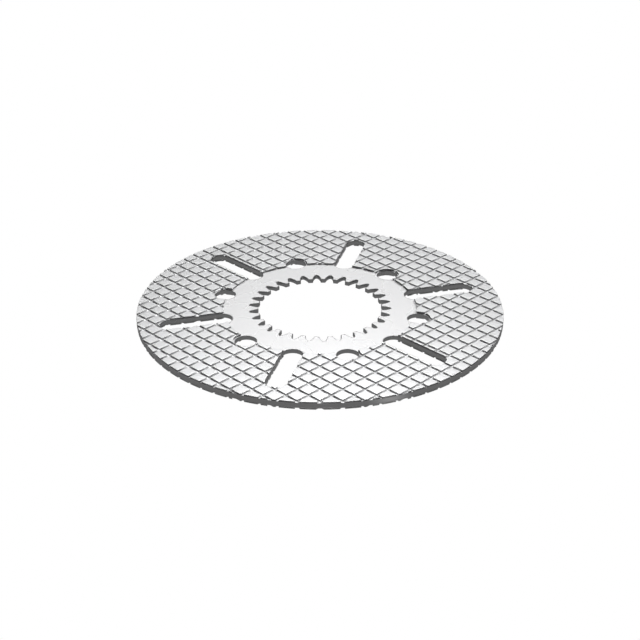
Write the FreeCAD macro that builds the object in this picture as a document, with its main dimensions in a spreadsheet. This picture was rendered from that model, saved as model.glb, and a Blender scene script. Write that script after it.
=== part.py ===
import FreeCAD, Part
import math
import os
import Sketcher

# Friction disc for a wet brake: a steel core plate with an internal spline in its bore, and a
# friction lining bonded on each of its two faces. Slots and oil holes go through all three.
# The waffle of grooves is cut in the upper lining, and the lower one is left plain.
# The origin is on the axis, half way through the thickness, with Z along the axis.

doc = FreeCAD.newDocument("friction_disc")

# Driving dimensions, in millimetres and degrees.
SIZES = [
    ("outer_diameter", 334.0, "core plate and both linings, flush with each other"),
    ("core_thickness", 4.0, "steel plate between the two linings"),
    ("tooth_count", 30, "teeth of the internal spline"),
    ("gear_module", 4.0, "pitch diameter of the spline over its number of teeth"),
    ("pressure_angle", 20.0, "of the involute flanks at the pitch circle"),
    ("tooth_addendum", 3.5, "from the pitch circle in to the flat tips of the teeth"),
    ("tooth_dedendum", 5.0, "from the pitch circle out to the bottoms of the spaces"),
    ("slot_count", 6, "radial slots"),
    ("slot_width", 19.0, "across a slot's straight sides"),
    ("slot_to_spline", 17.0, "bottoms of the tooth spaces to a slot's inner end"),
    ("slot_to_rim", 19.0, "a slot's outer end to the outer edge"),
    ("hole_diameter", 19.0, "of the oil holes in the core plate, one between each two slots"),
    ("lining_thickness", 1.6, "of each friction lining"),
    ("lining_to_spline", 23.5, "bottoms of the tooth spaces to a lining's inner edge"),
    ("lining_relief", 1.5, "by which a lining stands back from an oil hole all round"),
    ("groove_pitch", 13.0, "between neighbouring grooves of the waffle"),
    ("groove_width", 2.4, "of a groove"),
    ("groove_floor", 0.4, "lining left under a groove"),
]

sheet = doc.addObject("Spreadsheet::Sheet", "sizes")
for row, (alias, value, meaning) in enumerate(SIZES, start=1):
    sheet.set("A%d" % row, alias)
    sheet.set("B%d" % row, str(value))
    sheet.set("C%d" % row, meaning)
    sheet.setAlias("B%d" % row, alias)
doc.recompute()

# What follows from them, as formulas of the sheet for the features.
ROOT_RADIUS = "(sizes.gear_module * sizes.tooth_count / 2 + sizes.tooth_dedendum)"
TIP_RADIUS = "(sizes.gear_module * sizes.tooth_count / 2 - sizes.tooth_addendum)"
LINING_INNER_RADIUS = "(" + ROOT_RADIUS + " + sizes.lining_to_spline)"
SLOT_INNER_RADIUS = "(" + ROOT_RADIUS + " + sizes.slot_to_spline + sizes.slot_width / 2)"
SLOT_OUTER_RADIUS = "(sizes.outer_diameter / 2 - sizes.slot_to_rim - sizes.slot_width / 2)"
GROOVES_TO_RIM = "floor(sizes.outer_diameter / 2 / sizes.groove_pitch)"

# The same as lengths, for the places where a shape is first drawn.
pitch_radius = sheet.gear_module * sheet.tooth_count / 2
root_radius = pitch_radius + sheet.tooth_dedendum
tip_radius = pitch_radius - sheet.tooth_addendum
outer_radius = sheet.outer_diameter / 2
lining_inner_radius = root_radius + sheet.lining_to_spline
slot_half_width = sheet.slot_width / 2
slot_inner_radius = root_radius + sheet.slot_to_spline + slot_half_width
slot_outer_radius = outer_radius - sheet.slot_to_rim - slot_half_width

AXIS = FreeCAD.Vector(0, 0, 1)

# How a sketch numbers the ends and the centre of a line or arc, and its own horizontal axis.
START, END, CENTRE = 1, 2, 3
HORIZONTAL_AXIS = -1


def origin_feature(body, role):
    """The plane or axis of a body's own origin that has this role."""
    return next(feature for feature in body.Origin.OriginFeatures if feature.Role == role)


def new_sketch(body, name):
    """An empty sketch on the body's base plane."""
    sketch = body.newObject("Sketcher::SketchObject", name)
    sketch.AttachmentSupport = [(origin_feature(body, "XY_Plane"), "")]
    sketch.MapMode = "FlatFace"
    return sketch


def add_feature(body, kind, name):
    """A feature at the tip of the body, with its faces left as they are cut."""
    feature = body.newObject("PartDesign::" + kind, name)
    feature.Refine = False
    body.Tip = feature
    return feature


def dimension(sketch, constraint, expression):
    """Adds a dimension to a sketch and ties it to the sizes."""
    index = sketch.addConstraint(constraint)
    sketch.setExpression("Constraints[%d]" % index, expression)


def from_axis(sketch, geometry, point, value, expression):
    """Sets how far along the horizontal axis a point of the sketch lies from the disc's axis."""
    along = Sketcher.Constraint("DistanceX", HORIZONTAL_AXIS, START, geometry, point, value)
    dimension(sketch, along, expression)


def centred_circle(sketch, radius, expression):
    """A circle about the disc's axis."""
    index = sketch.addGeometry(Part.Circle(FreeCAD.Vector(), AXIS, radius), False)
    sketch.addConstraint(Sketcher.Constraint("Coincident", index, CENTRE, HORIZONTAL_AXIS, START))
    dimension(sketch, Sketcher.Constraint("Radius", index, radius), expression)


def ring(body, name, inner, inner_expression, height_expression):
    """A flat ring out to the disc's outer diameter, standing on the body's base plane."""
    sketch = new_sketch(body, name + "_outline")
    centred_circle(sketch, outer_radius, "sizes.outer_diameter / 2")
    centred_circle(sketch, inner, inner_expression)
    pad = add_feature(body, "Pad", name)
    pad.Profile = sketch
    pad.setExpression("Length", height_expression)


def cut_through(body, sketch, name):
    """Cuts a sketch through the whole thickness."""
    pocket = add_feature(body, "Pocket", name)
    pocket.Profile = sketch
    pocket.Type = "ThroughAll"
    pocket.Midplane = True
    return pocket


def repeat_round(body, feature, name, count_expression):
    """Repeats a feature evenly round the disc's axis."""
    pattern = add_feature(body, "PolarPattern", name)
    pattern.Originals = [feature]
    pattern.Axis = (origin_feature(body, "Z_Axis"), [""])
    pattern.Angle = 360
    pattern.setExpression("Occurrences", count_expression)


def join_in_turn(sketch, kind, indices):
    """Joins the end of each line or arc to the start of the next, right round the outline."""
    for first, second in zip(indices, indices[1:] + indices[:1]):
        sketch.addConstraint(Sketcher.Constraint(kind, first, END, second, START))


def cut_slots(body):
    """The radial slots, each of two straight sides between round ends, one of them along X."""
    right_angle = math.pi / 2
    far_circle = Part.Circle(FreeCAD.Vector(slot_outer_radius, 0, 0), AXIS, slot_half_width)
    near_circle = Part.Circle(FreeCAD.Vector(slot_inner_radius, 0, 0), AXIS, slot_half_width)
    far_left = FreeCAD.Vector(slot_outer_radius, slot_half_width, 0)
    near_left = FreeCAD.Vector(slot_inner_radius, slot_half_width, 0)
    near_right = FreeCAD.Vector(slot_inner_radius, -slot_half_width, 0)
    far_right = FreeCAD.Vector(slot_outer_radius, -slot_half_width, 0)
    outline = [
        Part.ArcOfCircle(far_circle, -right_angle, right_angle),
        Part.LineSegment(far_left, near_left),
        Part.ArcOfCircle(near_circle, right_angle, 3 * right_angle),
        Part.LineSegment(near_right, far_right),
    ]
    sketch = new_sketch(body, "slot_outline")
    indices = list(sketch.addGeometry(outline, False))
    join_in_turn(sketch, "Tangent", indices)
    far_end, _, near_end, _ = indices
    for end in (far_end, near_end):
        sketch.addConstraint(Sketcher.Constraint("PointOnObject", end, CENTRE, HORIZONTAL_AXIS))
    from_axis(sketch, far_end, CENTRE, slot_outer_radius, SLOT_OUTER_RADIUS)
    from_axis(sketch, near_end, CENTRE, slot_inner_radius, SLOT_INNER_RADIUS)
    dimension(sketch, Sketcher.Constraint("Radius", far_end, slot_half_width), "sizes.slot_width / 2")
    slot = cut_through(body, sketch, "slot")
    repeat_round(body, slot, "slots", "sizes.slot_count")


def cut_holes(body, relief_expression):
    """The oil holes, half way between the slots and level with their inner ends, widened by a relief."""
    radius = sheet.hole_diameter / 2
    centre = FreeCAD.Vector(slot_inner_radius, 0, 0)
    sketch = new_sketch(body, "hole_outline")
    index = sketch.addGeometry(Part.Circle(centre, AXIS, radius), False)
    sketch.addConstraint(Sketcher.Constraint("PointOnObject", index, CENTRE, HORIZONTAL_AXIS))
    from_axis(sketch, index, CENTRE, slot_inner_radius, SLOT_INNER_RADIUS)
    size = Sketcher.Constraint("Radius", index, radius)
    dimension(sketch, size, "sizes.hole_diameter / 2 + " + relief_expression)
    sketch.setExpression("AttachmentOffset.Rotation.Angle", "180 / sizes.slot_count")
    hole = cut_through(body, sketch, "hole")
    repeat_round(body, hole, "holes", "sizes.slot_count")


def polar(radius, angle):
    return FreeCAD.Vector(radius * math.cos(angle), radius * math.sin(angle), 0)


def mirrored(point):
    """A point's reflection in the middle line of a tooth space that lies along X."""
    return FreeCAD.Vector(point.x, -point.y, 0)


def involute(angle):
    return math.tan(angle) - angle


def space_edge(radius):
    """The point at this radius on the left flank of a tooth space that lies along X."""
    pressure = math.radians(sheet.pressure_angle)
    base_radius = pitch_radius * math.cos(pressure)
    pressure_here = math.acos(min(1.0, base_radius / radius))
    half_angle = math.pi / 2 / sheet.tooth_count + involute(pressure) - involute(pressure_here)
    return polar(radius, half_angle)


def cut_tooth_spaces(body):
    """The spaces between the teeth, each of two involute flanks down to the root circle."""
    radii = (tip_radius, pitch_radius, root_radius)
    tip, middle, root = (space_edge(radius) for radius in radii)
    bottom = FreeCAD.Vector(root_radius, 0, 0)
    clear_of_tip = FreeCAD.Vector(tip.x - sheet.tooth_addendum, tip.y, 0)
    outline = [
        Part.LineSegment(mirrored(clear_of_tip), mirrored(tip)),
        Part.Arc(mirrored(tip), mirrored(middle), mirrored(root)),
        Part.Arc(mirrored(root), bottom, root),
        Part.Arc(root, middle, tip),
        Part.LineSegment(tip, clear_of_tip),
        Part.LineSegment(clear_of_tip, mirrored(clear_of_tip)),
    ]
    sketch = new_sketch(body, "tooth_space_outline")
    sketch.addGeometry(outline, False)
    sketch.setExpression("AttachmentOffset.Rotation.Angle", "180 / sizes.tooth_count")
    space = cut_through(body, sketch, "tooth_space")
    repeat_round(body, space, "tooth_spaces", "sizes.tooth_count")


def cut_grooves(body, name, turn):
    """A row of parallel grooves over the whole face, one of them across the axis."""
    outermost = math.floor(outer_radius / sheet.groove_pitch) * sheet.groove_pitch
    half_width = sheet.groove_width / 2
    half_length = outer_radius + sheet.groove_pitch
    near_left = FreeCAD.Vector(outermost - half_width, -half_length, 0)
    near_right = FreeCAD.Vector(outermost + half_width, -half_length, 0)
    far_right = FreeCAD.Vector(outermost + half_width, half_length, 0)
    far_left = FreeCAD.Vector(outermost - half_width, half_length, 0)
    corners = [near_left, near_right, far_right, far_left]
    sides = [Part.LineSegment(first, second) for first, second in zip(corners, corners[1:] + corners[:1])]
    sketch = new_sketch(body, name + "_outline")
    indices = list(sketch.addGeometry(sides, False))
    join_in_turn(sketch, "Coincident", indices)
    near, right, far, left = indices
    for side in (near, far):
        sketch.addConstraint(Sketcher.Constraint("Horizontal", side))
    sketch.addConstraint(Sketcher.Constraint("Vertical", left))
    sketch.addConstraint(Sketcher.Constraint("Symmetric", right, START, right, END, HORIZONTAL_AXIS))
    length = Sketcher.Constraint("DistanceY", right, START, right, END, 2 * half_length)
    dimension(sketch, length, "sizes.outer_diameter + 2 * sizes.groove_pitch")
    middle = GROOVES_TO_RIM + " * sizes.groove_pitch"
    from_axis(sketch, near, START, near_left.x, middle + " - sizes.groove_width / 2")
    from_axis(sketch, near, END, near_right.x, middle + " + sizes.groove_width / 2")
    sketch.AttachmentOffset = FreeCAD.Placement(FreeCAD.Vector(), FreeCAD.Rotation(AXIS, turn))
    sketch.setExpression("AttachmentOffset.Base.z", "sizes.lining_thickness")
    groove = add_feature(body, "Pocket", name + "_outermost")
    groove.Profile = sketch
    groove.setExpression("Length", "sizes.lining_thickness - sizes.groove_floor")
    row = add_feature(body, "LinearPattern", name)
    row.Originals = [groove]
    row.Direction = (sketch, ["H_Axis"])
    row.Reversed = True
    row.Mode = "Spacing"
    row.setExpression("Offset", "sizes.groove_pitch")
    row.setExpression("Occurrences", "2 * " + GROOVES_TO_RIM + " + 1")


def make_core_plate():
    """The steel plate, with slots, oil holes and the spline in its bore."""
    body = doc.addObject("PartDesign::Body", "core_plate")
    ring(body, "plate", tip_radius, TIP_RADIUS, "sizes.core_thickness")
    cut_slots(body)
    cut_holes(body, "0")
    cut_tooth_spaces(body)
    body.setExpression("Placement.Base.z", "-sizes.core_thickness / 2")
    return body


def make_lining(name, height_expression):
    """A friction ring at this height, with slots like the plate's and wider holes."""
    body = doc.addObject("PartDesign::Body", name)
    ring(body, "layer", lining_inner_radius, LINING_INNER_RADIUS, "sizes.lining_thickness")
    cut_slots(body)
    cut_holes(body, "sizes.lining_relief")
    body.setExpression("Placement.Base.z", height_expression)
    return body


core_plate = make_core_plate()
upper_lining = make_lining("upper_lining", "sizes.core_thickness / 2")
cut_grooves(upper_lining, "grooves_along_y", 0)
cut_grooves(upper_lining, "grooves_along_x", 90)
lower_lining = make_lining("lower_lining", "-sizes.core_thickness / 2 - sizes.lining_thickness")
doc.recompute()

for item in doc.Objects:
    if "Invalid" in item.State or "Error" in item.State:
        raise RuntimeError("%s failed: %s" % (item.Name, item.State))

pieces = (core_plate, upper_lining, lower_lining)
for piece in pieces:
    piece.Label = piece.Name
    if piece.Shape.isNull() or not piece.Shape.isValid():
        raise RuntimeError("%s has no valid shape" % piece.Label)

os.makedirs("parts", exist_ok=True)
for piece in pieces:
    piece.Shape.exportStep("parts/%s.step" % piece.Label)
    box = piece.Shape.BoundBox
    print("%s: %d solid, %.0f mm3, z %.2f to %.2f, %d faces" % (
        piece.Label, len(piece.Shape.Solids), piece.Shape.Volume, box.ZMin, box.ZMax, len(piece.Shape.Faces)))
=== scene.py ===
import math

import bmesh
import bpy
from mathutils import Matrix, Vector


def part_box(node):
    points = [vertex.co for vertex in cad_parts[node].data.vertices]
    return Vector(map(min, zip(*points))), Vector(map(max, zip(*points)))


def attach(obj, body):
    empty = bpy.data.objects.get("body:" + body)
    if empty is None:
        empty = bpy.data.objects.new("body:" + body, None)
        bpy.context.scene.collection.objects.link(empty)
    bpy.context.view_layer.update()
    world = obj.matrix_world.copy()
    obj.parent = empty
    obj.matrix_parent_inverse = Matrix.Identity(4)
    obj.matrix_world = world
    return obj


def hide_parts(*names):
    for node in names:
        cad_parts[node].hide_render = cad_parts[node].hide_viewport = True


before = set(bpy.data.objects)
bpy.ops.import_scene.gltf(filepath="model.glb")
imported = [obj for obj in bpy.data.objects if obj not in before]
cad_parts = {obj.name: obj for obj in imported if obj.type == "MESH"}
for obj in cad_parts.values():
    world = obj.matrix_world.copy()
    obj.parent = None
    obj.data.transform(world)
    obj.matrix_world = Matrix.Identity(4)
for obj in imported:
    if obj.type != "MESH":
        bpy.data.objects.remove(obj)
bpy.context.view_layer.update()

UP = Vector((0, 0, 1))
MILLIMETRE = 0.001

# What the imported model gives.
plate_low, plate_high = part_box("core_plate")
lining_low, lining_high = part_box("upper_lining")
outer_radius = plate_high[0]
plate_face = plate_high[2]
lining_face = lining_high[2]

# Mesh work.
WELD = 0.002 * MILLIMETRE
FLAT_WITHIN = math.radians(0.5)
SHARP_FROM = math.radians(50)
TOUCH = 0.01 * MILLIMETRE
PAD_CHAMFER = 0.12 * MILLIMETRE
NARROWEST_PAD = 1.0 * MILLIMETRE
PLATE_EDGE = 0.6 * MILLIMETRE
ROOT_FILLET = 1.1 * MILLIMETRE
SPLINE_ROOT_RADIUS = 65 * MILLIMETRE
GROOVE_PITCH = 13.0 * MILLIMETRE
GROOVE_WIDTH = 2.4 * MILLIMETRE
GROOVE_DEPTH = 1.2 * MILLIMETRE
SEAM_BEAD = 0.3 * MILLIMETRE
BEAD_STEPS = 360
BEAD_TILTS = (90, 45, 0, -45, -90)
FILLET_STEPS = 5
EDGE_STEPS = 2

# Places in the plate's list of materials. The linings have the first two.
FACE_METAL, PAINTED_SHADE_EDGE, BEAD_HIGHLIGHT = 0, 1, 2


def welded_copy(node):
    """A copy of a CAD node's mesh, with the corners of its facets joined."""
    shape = bmesh.new()
    shape.from_mesh(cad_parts[node].data)
    bmesh.ops.remove_doubles(shape, verts=shape.verts, dist=WELD)
    return shape


def flat_pads(shape, height):
    """Joins the facets that lie at this height into one face for each pad, and returns these faces."""
    def lies_there(face):
        return all(abs(vertex.co.z - height) < TOUCH for vertex in face.verts)

    inner = [edge for edge in shape.edges if all(lies_there(face) for face in edge.link_faces)]
    bmesh.ops.dissolve_edges(shape, edges=inner, use_verts=False)
    return [face for face in shape.faces if lies_there(face)]


def beside_groove(places):
    """True for an edge that runs along a groove, on either of its two sides."""
    for axis in (0, 1):
        across = [place[axis] for place in places]
        aside = [abs(spot - GROOVE_PITCH * round(spot / GROOVE_PITCH)) for spot in across]
        if all(abs(distance - GROOVE_WIDTH / 2) < TOUCH for distance in aside):
            return True
    return False


def chamfer_pad(shape, pad, width):
    """Chamfers the edges of a flat pad, by shrinking its top and letting its rim down."""
    rim = list(pad.verts)
    ring = bmesh.ops.inset_individual(
        shape, faces=[pad], thickness=width, depth=0, use_even_offset=True)
    # Edges away from the grooves get the dark metal, a painted shade outline.
    for face in ring["faces"]:
        outer = [vertex.co for vertex in face.verts if vertex in rim]
        face.material_index = FACE_METAL if beside_groove(outer) else PAINTED_SHADE_EDGE
    for vertex in rim:
        vertex.co.z -= width


def waffle_lining():
    """The grooved friction ring, with the upper edges of its pads chamfered."""
    shape = welded_copy("upper_lining")
    for pad in flat_pads(shape, lining_face):
        breadth = 4 * pad.calc_area() / pad.calc_perimeter()
        if breadth > NARROWEST_PAD:
            chamfer_pad(shape, pad, PAD_CHAMFER)
    return shape


def turned_over(shape):
    """The mirror image of a mesh in the middle plane of the disc."""
    bmesh.ops.transform(shape, matrix=Matrix.Scale(-1, 4, UP), verts=shape.verts)
    bmesh.ops.reverse_faces(shape, faces=shape.faces)
    return shape


def round_edges(shape, wanted, width, steps, look):
    """Rounds the sharp edges whose two ends pass a test, and gives them one of the materials."""
    edges = []
    for edge in shape.edges:
        if edge.calc_face_angle(0) > SHARP_FROM and wanted(edge.verts[0].co, edge.verts[1].co):
            edges.append(edge)
    bmesh.ops.bevel(
        shape, geom=edges, offset=width, offset_type="OFFSET", segments=steps, profile=0.5,
        affect="EDGES", loop_slide=True, material=look)


def flatten_edges(shape):
    """Turns the rounding of the plate's edges into a flat band and a small chamfer.

    The rounding has three rows of vertices: on the face, half way round, and on the wall.
    """
    band_end = PLATE_EDGE * (1 - math.sqrt(0.5))
    for vertex in shape.verts:
        depth = plate_face - abs(vertex.co.z)
        if TOUCH < depth < PLATE_EDGE + TOUCH:
            depth = 0 if depth < PLATE_EDGE / 2 else band_end
            vertex.co.z = math.copysign(plate_face - depth, vertex.co.z)


def add_bead(shape, height):
    """A thin half-round bead along the joint of plate and lining in the rim."""
    loops = []
    for tilt in BEAD_TILTS:
        radius = outer_radius + SEAM_BEAD * (math.cos(math.radians(tilt)) - 0.5)
        level = height + SEAM_BEAD * math.sin(math.radians(tilt))
        turns = [2 * math.pi * step / BEAD_STEPS for step in range(BEAD_STEPS)]
        places = [(radius * math.cos(turn), radius * math.sin(turn), level) for turn in turns]
        loops.append([shape.verts.new(place) for place in places])
    for upper, lower in zip(loops, loops[1:] + loops[:1]):
        for step in range(BEAD_STEPS):
            corners = (upper[step - 1], lower[step - 1], lower[step], upper[step])
            shape.faces.new(corners).material_index = BEAD_HIGHLIGHT


def splined_plate():
    """The steel plate, with fillets at its tooth roots, broken edges on both faces, and beads."""
    def at_tooth_root(end, other_end):
        upright = (end.xy - other_end.xy).length < TOUCH
        return upright and abs(end.xy.length - SPLINE_ROOT_RADIUS) < TOUCH

    def on_a_face(end, other_end):
        return abs(end.z - other_end.z) < TOUCH and abs(abs(end.z) - plate_face) < TOUCH

    shape = welded_copy("core_plate")
    bmesh.ops.dissolve_limit(shape, angle_limit=FLAT_WITHIN, verts=shape.verts, edges=shape.edges)
    round_edges(shape, at_tooth_root, ROOT_FILLET, FILLET_STEPS, FACE_METAL)
    bmesh.ops.remove_doubles(shape, verts=shape.verts, dist=WELD)
    # The bands and chamfers round the faces take the dark metal, a painted shade outline.
    round_edges(shape, on_a_face, PLATE_EDGE, EDGE_STEPS, PAINTED_SHADE_EDGE)
    flatten_edges(shape)
    add_bead(shape, plate_face)
    add_bead(shape, -plate_face)
    return shape


def add_piece(shape, name, node, materials):
    """Makes an object of a mesh, in the place of a CAD node."""
    mesh = bpy.data.meshes.new(name)
    shape.normal_update()
    shape.to_mesh(mesh)
    shape.free()
    mesh.shade_smooth()
    mesh.set_sharp_from_angle(angle=SHARP_FROM)
    for material in materials:
        mesh.materials.append(material)
    piece = bpy.data.objects.new(name, mesh)
    bpy.context.scene.collection.objects.link(piece)
    even = piece.modifiers.new("even_shading", "WEIGHTED_NORMAL")
    even.keep_sharp = True
    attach(piece, "root")
    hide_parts(node)
    return piece


# Materials. The noises are given by the size of their spots, and each pair of levels by what the
# low and the high end of a noise come to. A surface counts as a wall where the upright share of its
# normal is small, and as a face where it is large.
GRAIN_SIZE = 0.5 * MILLIMETRE
PORE_SIZE = 1.6 * MILLIMETRE
CLOUD_SIZE = 40 * MILLIMETRE
RING_SIZE = 1.2 * MILLIMETRE
RING_WANDER = 1.5
NOISE_RANGE = (0.3, 0.7)
PORE_RANGE = (0.26, 0.34)
GRAIN_LEVELS = (0.985, 1.015)
PORE_LEVELS = (0.95, 1.0)
CLOUD_LEVELS = (0.96, 1.02)
ROUGHNESS_SPREAD = 0.02
GRAIN_DEPTH = 0.012 * MILLIMETRE
RELIEF_STRENGTH = 0.1
WALL_TO_FACE = (0.15, 0.6)
# Painted shade: walls are given a darker colour than faces.
WALL_PAINTED_SHADE = 0.7
FACE_METALLIC = 0.4


def add_node(tree, kind, **settings):
    """Adds a shader node and sets its properties and, by name, its inputs."""
    node = tree.nodes.new("ShaderNode" + kind)
    for name, value in settings.items():
        if hasattr(node, name):
            setattr(node, name, value)
        else:
            node.inputs[name.replace("_", " ").title()].default_value = value
    return node


def noise(tree, place, grain, detail=4.0):
    """Noise whose spots are about this large, in metres."""
    node = add_node(tree, "TexNoise", scale=1 / grain, detail=detail)
    tree.links.new(place, node.inputs["Vector"])
    return node.outputs["Fac"]


def rescale(tree, value, low, high, to_low, to_high):
    """Maps a range of values to another one, and stops at its ends."""
    node = add_node(tree, "MapRange", clamp=True)
    tree.links.new(value, node.inputs["Value"])
    ends = {"From Min": low, "From Max": high, "To Min": to_low, "To Max": to_high}
    for name, number in ends.items():
        node.inputs[name].default_value = number
    return node.outputs["Result"]


def calculate(tree, operation, first, second):
    """Two values, or a value and a number, put through a maths node."""
    node = add_node(tree, "Math", operation=operation)
    for socket, value in zip(node.inputs, (first, second)):
        if isinstance(value, (int, float)):
            socket.default_value = value
        else:
            tree.links.new(value, socket)
    return node.outputs["Value"]


def satin_metal(name, shade, roughness, ring_depth=0.0, painted_groove_shade=1.0, metallic=FACE_METALLIC):
    """Fine-grained satin metal, a little dull on its faces, and bare metal with painted shade on its
    walls.
    """
    material = bpy.data.materials.new(name)
    material.use_nodes = True
    tree = material.node_tree
    surface = tree.nodes["Principled BSDF"]
    place = add_node(tree, "TexCoord").outputs["Object"]
    geometry = add_node(tree, "NewGeometry")
    facing = add_node(tree, "SeparateXYZ")
    tree.links.new(geometry.outputs["Normal"], facing.inputs["Vector"])
    upright = calculate(tree, "ABSOLUTE", facing.outputs["Z"], 0)

    grain = noise(tree, place, GRAIN_SIZE)
    clouds = noise(tree, place, CLOUD_SIZE, 2.0)
    pores = noise(tree, place, PORE_SIZE, 2.0)

    # Brightness: grain, clouds and pores, and painted shade that darkens the walls.
    wall = rescale(tree, upright, *WALL_TO_FACE, WALL_PAINTED_SHADE, 1.0)
    spotted = rescale(tree, grain, *NOISE_RANGE, *GRAIN_LEVELS)
    cloudy = rescale(tree, clouds, *NOISE_RANGE, *CLOUD_LEVELS)
    pitted = rescale(tree, pores, *PORE_RANGE, *PORE_LEVELS)
    brightness = calculate(tree, "MULTIPLY", calculate(tree, "MULTIPLY", spotted, cloudy), wall)
    brightness = calculate(tree, "MULTIPLY", brightness, pitted)

    # Painted shade in the grooves: the colour grows darker from the pad tops down to the depth of the
    # groove floors.
    split = add_node(tree, "SeparateXYZ")
    tree.links.new(place, split.inputs["Vector"])
    height = calculate(tree, "ABSOLUTE", split.outputs["Z"], 0)
    painted_groove_factor = rescale(tree, height, lining_face - GROOVE_DEPTH, lining_face, painted_groove_shade, 1.0)
    brightness = calculate(tree, "MULTIPLY", brightness, painted_groove_factor)
    colour = add_node(tree, "VectorMath", operation="SCALE")
    colour.inputs[0].default_value = shade
    tree.links.new(brightness, colour.inputs["Scale"])
    tree.links.new(colour.outputs["Vector"], surface.inputs["Base Color"])

    # Roughness: a little more where the clouds are dark.
    rough, smooth = roughness + ROUGHNESS_SPREAD, roughness - ROUGHNESS_SPREAD
    uneven = rescale(tree, clouds, *NOISE_RANGE, rough, smooth)
    tree.links.new(uneven, surface.inputs["Roughness"])

    # The faces are a little dull, and the walls are bare metal.
    bare = rescale(tree, upright, *WALL_TO_FACE, 1.0, metallic)
    tree.links.new(bare, surface.inputs["Metallic"])

    # Relief: the grain, and the fine rings that turning or grinding leaves.
    rings = add_node(tree, "TexWave", wave_type="RINGS", rings_direction="Z", scale=1 / RING_SIZE)
    rings.inputs["Distortion"].default_value = RING_WANDER
    tree.links.new(place, rings.inputs["Vector"])
    grain_relief = add_node(tree, "Bump", strength=RELIEF_STRENGTH, distance=GRAIN_DEPTH)
    tree.links.new(grain, grain_relief.inputs["Height"])
    ring_relief = add_node(tree, "Bump", strength=RELIEF_STRENGTH, distance=ring_depth)
    tree.links.new(rings.outputs["Fac"], ring_relief.inputs["Height"])
    tree.links.new(grain_relief.outputs["Normal"], ring_relief.inputs["Normal"])
    tree.links.new(ring_relief.outputs["Normal"], surface.inputs["Normal"])
    return material


# The lining gets painted shade deeper in its grooves.
lining_metal = satin_metal("lining_metal", (0.76, 0.765, 0.77), 0.29, painted_groove_shade=0.8)
plate_metal = satin_metal("plate_metal", (0.80, 0.80, 0.805), 0.27, 0.01 * MILLIMETRE)
# A dark copy of the metal for the edge bands and chamfers: a painted shade outline along the edges.
painted_shade_edge_metal = satin_metal("painted_shade_edge_metal", (0.22, 0.22, 0.223), 0.36)
# A lighter, mirror-bright copy of the metal for the beads: partly painted highlight, so that their
# glints stand out.
bead_highlight_metal = satin_metal("bead_highlight_metal", (0.95, 0.95, 0.95), 0.22, metallic=1.0)

upper_shape = waffle_lining()
lower_shape = turned_over(upper_shape.copy())
lining_metals = [lining_metal, painted_shade_edge_metal]
add_piece(upper_shape, "upper_waffle", "upper_lining", lining_metals)
add_piece(lower_shape, "lower_waffle", "lower_lining", lining_metals)
plate_metals = [plate_metal, painted_shade_edge_metal, bead_highlight_metal]
add_piece(splined_plate(), "splined_plate", "core_plate", plate_metals)

# Floor: a dim grey to the metal above it, with a brighter pool at the rim. The camera looks through
# it, to a sky that is as white as the floor would be, and so it sees the disc from below as well.
FLOOR_SIZE = 40.0
FLOOR_GAP = 0.05 * MILLIMETRE
FLOOR_LEVEL = 0.225
POOL_LEVEL = 0.3
POOL_RADIUS = 22 * MILLIMETRE
POOL_PLACE = (160 * MILLIMETRE, -72 * MILLIMETRE, 0)


def glowing(tree, strength):
    """A white emission, of one strength or of the strength that a node gives."""
    node = add_node(tree, "Emission")
    node.inputs["Color"].default_value = (1, 1, 1, 1)
    if isinstance(strength, float):
        node.inputs["Strength"].default_value = strength
    else:
        tree.links.new(strength, node.inputs["Strength"])
    return node.outputs["Emission"]


def add_floor():
    """A wide square under the disc."""
    half = FLOOR_SIZE / 2
    height = -lining_face - FLOOR_GAP
    sides = ((-half, -half), (half, -half), (half, half), (-half, half))
    mesh = bpy.data.meshes.new("floor")
    mesh.from_pydata([(x, y, height) for x, y in sides], [], [(0, 1, 2, 3)])
    floor = bpy.data.objects.new("floor", mesh)
    bpy.context.scene.collection.objects.link(floor)
    material = bpy.data.materials.new("floor")
    material.use_nodes = True
    tree = material.node_tree
    tree.nodes.clear()
    output = add_node(tree, "OutputMaterial")
    away = add_node(tree, "VectorMath", operation="DISTANCE")
    tree.links.new(add_node(tree, "TexCoord").outputs["Object"], away.inputs[0])
    away.inputs[1].default_value = POOL_PLACE
    middle = FLOOR_LEVEL + POOL_LEVEL
    level = rescale(tree, away.outputs["Value"], 0, POOL_RADIUS, middle, FLOOR_LEVEL)
    tree.links.new(glowing(tree, level), output.inputs["Surface"])
    mesh.materials.append(material)
    floor.visible_camera = False


add_floor()

# Light: soft glows in the sky, which the metal mirrors, and a key light, which it doesn't. The high
# and the low glow stand behind the disc and light its faces. The front one glints on the beads.
# Azimuths, elevations and spreads are in degrees.
HIGH_GLOW = {"azimuth": 134.0, "elevation": 46.0, "level": 9.2, "sharpness": 90.0}
LOW_GLOW = {"azimuth": 133.0, "elevation": 38.0, "level": 1.2, "sharpness": 90.0}
FRONT_GLOW = {"azimuth": -45.0, "elevation": 60.0, "level": 2.6, "sharpness": 60.0}
OVERHEAD_GLOW = {"azimuth": 0.0, "elevation": 90.0, "level": 0.2, "sharpness": 8.0}
KEY_AZIMUTH = 93.0
KEY_ELEVATION = 30.0
KEY_STRENGTH = 4.7
KEY_SPREAD = 8.0


def direction(azimuth, elevation):
    """The unit vector towards a place in the sky."""
    around, up = math.radians(azimuth), math.radians(elevation)
    return Vector((math.cos(up) * math.cos(around), math.cos(up) * math.sin(around), math.sin(up)))


def glow(tree, sky, azimuth, elevation, level, sharpness):
    """The brightness of the sky round one soft glow."""
    towards = add_node(tree, "VectorMath", operation="DOT_PRODUCT")
    tree.links.new(sky, towards.inputs[0])
    towards.inputs[1].default_value = direction(azimuth, elevation)
    nearness = calculate(tree, "SUBTRACT", towards.outputs["Value"], 1.0)
    fall = calculate(tree, "EXPONENT", calculate(tree, "MULTIPLY", nearness, sharpness), 0)
    return calculate(tree, "MULTIPLY", fall, level)


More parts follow.
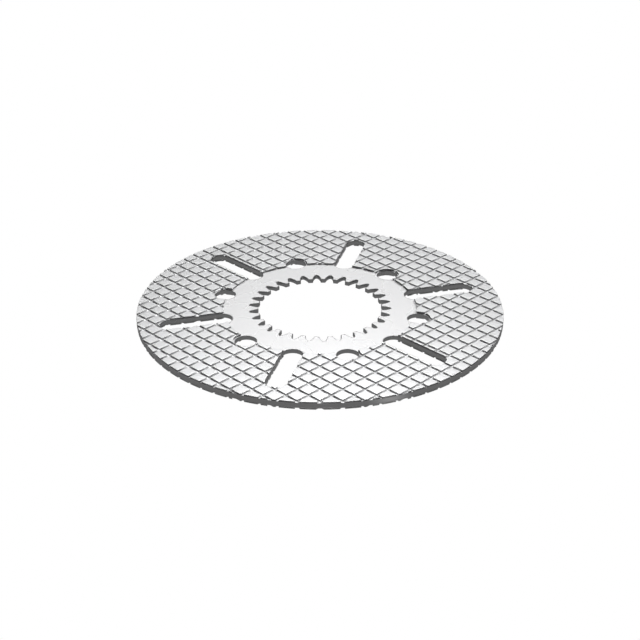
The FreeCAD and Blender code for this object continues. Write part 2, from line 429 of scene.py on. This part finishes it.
def add_studio():
    """The sky: white where the camera looks, and the sum of the glows for every other ray."""
    world = bpy.data.worlds.new("studio")
    bpy.context.scene.world = world
    world.use_nodes = True
    tree = world.node_tree
    tree.nodes.clear()
    output = add_node(tree, "OutputWorld")
    sky = add_node(tree, "TexCoord").outputs["Generated"]
    brightness = glow(tree, sky, **HIGH_GLOW)
    for place in (LOW_GLOW, FRONT_GLOW, OVERHEAD_GLOW):
        brightness = calculate(tree, "ADD", brightness, glow(tree, sky, **place))
    light = add_node(tree, "Background")
    light.inputs["Color"].default_value = (1, 1, 1, 1)
    tree.links.new(brightness, light.inputs["Strength"])
    path = add_node(tree, "LightPath")
    mix = add_node(tree, "MixShader")
    tree.links.new(path.outputs["Is Camera Ray"], mix.inputs["Fac"])
    tree.links.new(light.outputs["Background"], mix.inputs[1])
    tree.links.new(glowing(tree, 1.0), mix.inputs[2])
    tree.links.new(mix.outputs["Shader"], output.inputs["Surface"])


def add_key():
    """A distant lamp, low behind the disc, that leaves one direction of grooves in shadow."""
    lamp = bpy.data.lights.new("key", "SUN")
    lamp.energy = KEY_STRENGTH
    lamp.angle = math.radians(KEY_SPREAD)
    key = bpy.data.objects.new("key", lamp)
    key.rotation_euler = direction(KEY_AZIMUTH, KEY_ELEVATION).to_track_quat("Z", "Y").to_euler()
    key.visible_glossy = False
    bpy.context.scene.collection.objects.link(key)


add_studio()
add_key()

# Camera: on the diagonal between -Y and +X, looking down on the disc at the photograph's angle.
CAMERA_AZIMUTH = -45.0
CAMERA_PITCH = -28.42
CAMERA_REACH = 1010.7 * MILLIMETRE
CAMERA_RISE = 531.3 * MILLIMETRE
FOCAL_LENGTH = 70.0
SENSOR_WIDTH = 36.0


def add_camera():
    """The photograph's camera, which looks from the diagonal towards the disc's axis."""
    lens = bpy.data.cameras.new("camera")
    lens.sensor_fit = "HORIZONTAL"
    lens.sensor_width = SENSOR_WIDTH
    lens.lens = FOCAL_LENGTH
    camera = bpy.data.objects.new("camera", lens)
    camera.location = direction(CAMERA_AZIMUTH, 0) * CAMERA_REACH + UP * (lining_face + CAMERA_RISE)
    looking = direction(CAMERA_AZIMUTH + 180, CAMERA_PITCH)
    camera.rotation_euler = looking.to_track_quat("-Z", "Y").to_euler()
    bpy.context.scene.collection.objects.link(camera)
    bpy.context.scene.camera = camera


add_camera()
bpy.context.scene.view_settings.view_transform = "Standard"
